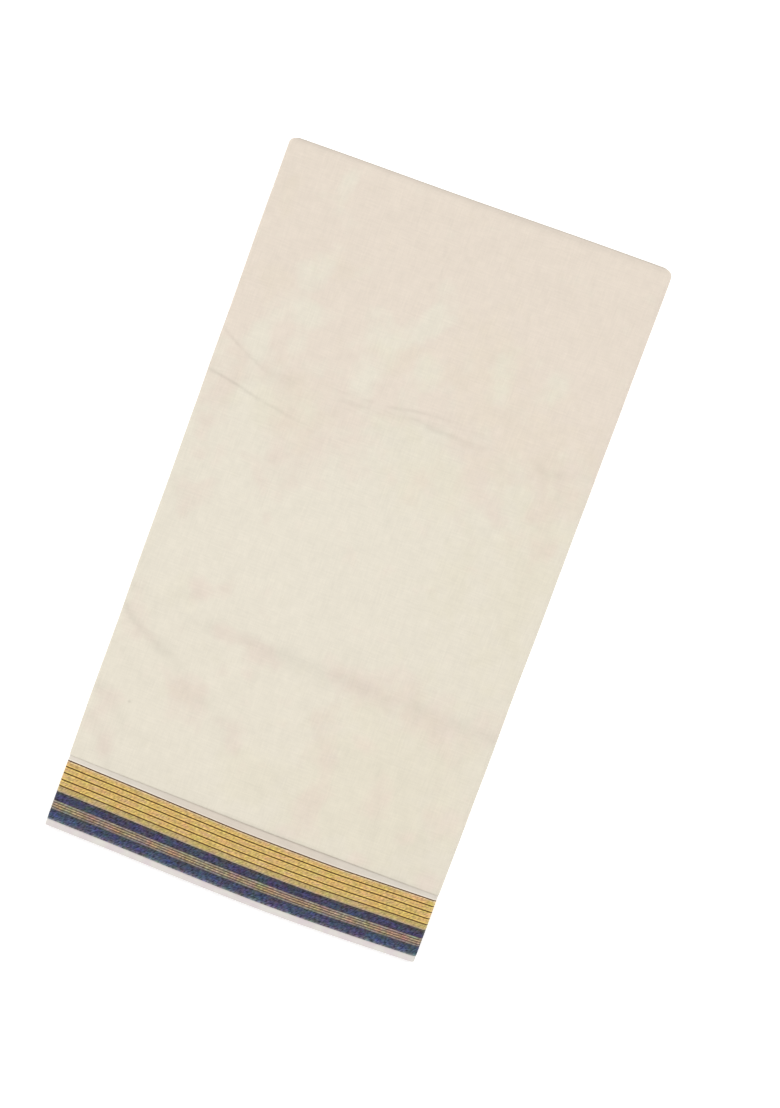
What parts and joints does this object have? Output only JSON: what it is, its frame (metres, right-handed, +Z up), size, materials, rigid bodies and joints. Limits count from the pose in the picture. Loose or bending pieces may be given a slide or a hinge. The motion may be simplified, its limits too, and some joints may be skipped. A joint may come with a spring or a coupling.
{
  "type": "folded kerala saree",
  "caption": "Off-white cotton Kerala saree folded flat into a long rectangle, its gold, navy and fine-striped border showing along one short end.",
  "frame": {"origin": "middle of the footprint, on the surface that the folded saree lies on", "axes": "+Z up out of the surface, +Y along the long side towards the top fold, +X along the short side towards the spine, the last fold made"},
  "size_m": [0.3448, 0.6322, 0.016],
  "materials": {
    "cream_cotton": "soft matte plain weave",
    "pale_cotton": "matte plain weave, whiter than the body",
    "gold_zari": "gold zari weft with thin dark lines, low metallic sheen",
    "navy_cotton": "matte dyed cotton",
    "fine_stripes": "fine tan and gold stripes on dark cotton"
  },
  "bodies": {
    "root": {"hidden_layers": "cream_cotton", "body_panel": "cream_cotton", "border_ground": "pale_cotton", "kasavu_band": "gold_zari", "navy_band_inner": "navy_cotton", "fine_stripe_band": "fine_stripes", "navy_band_outer": "navy_cotton", "selvedge": "pale_cotton"}
  },
  "joints": []
}
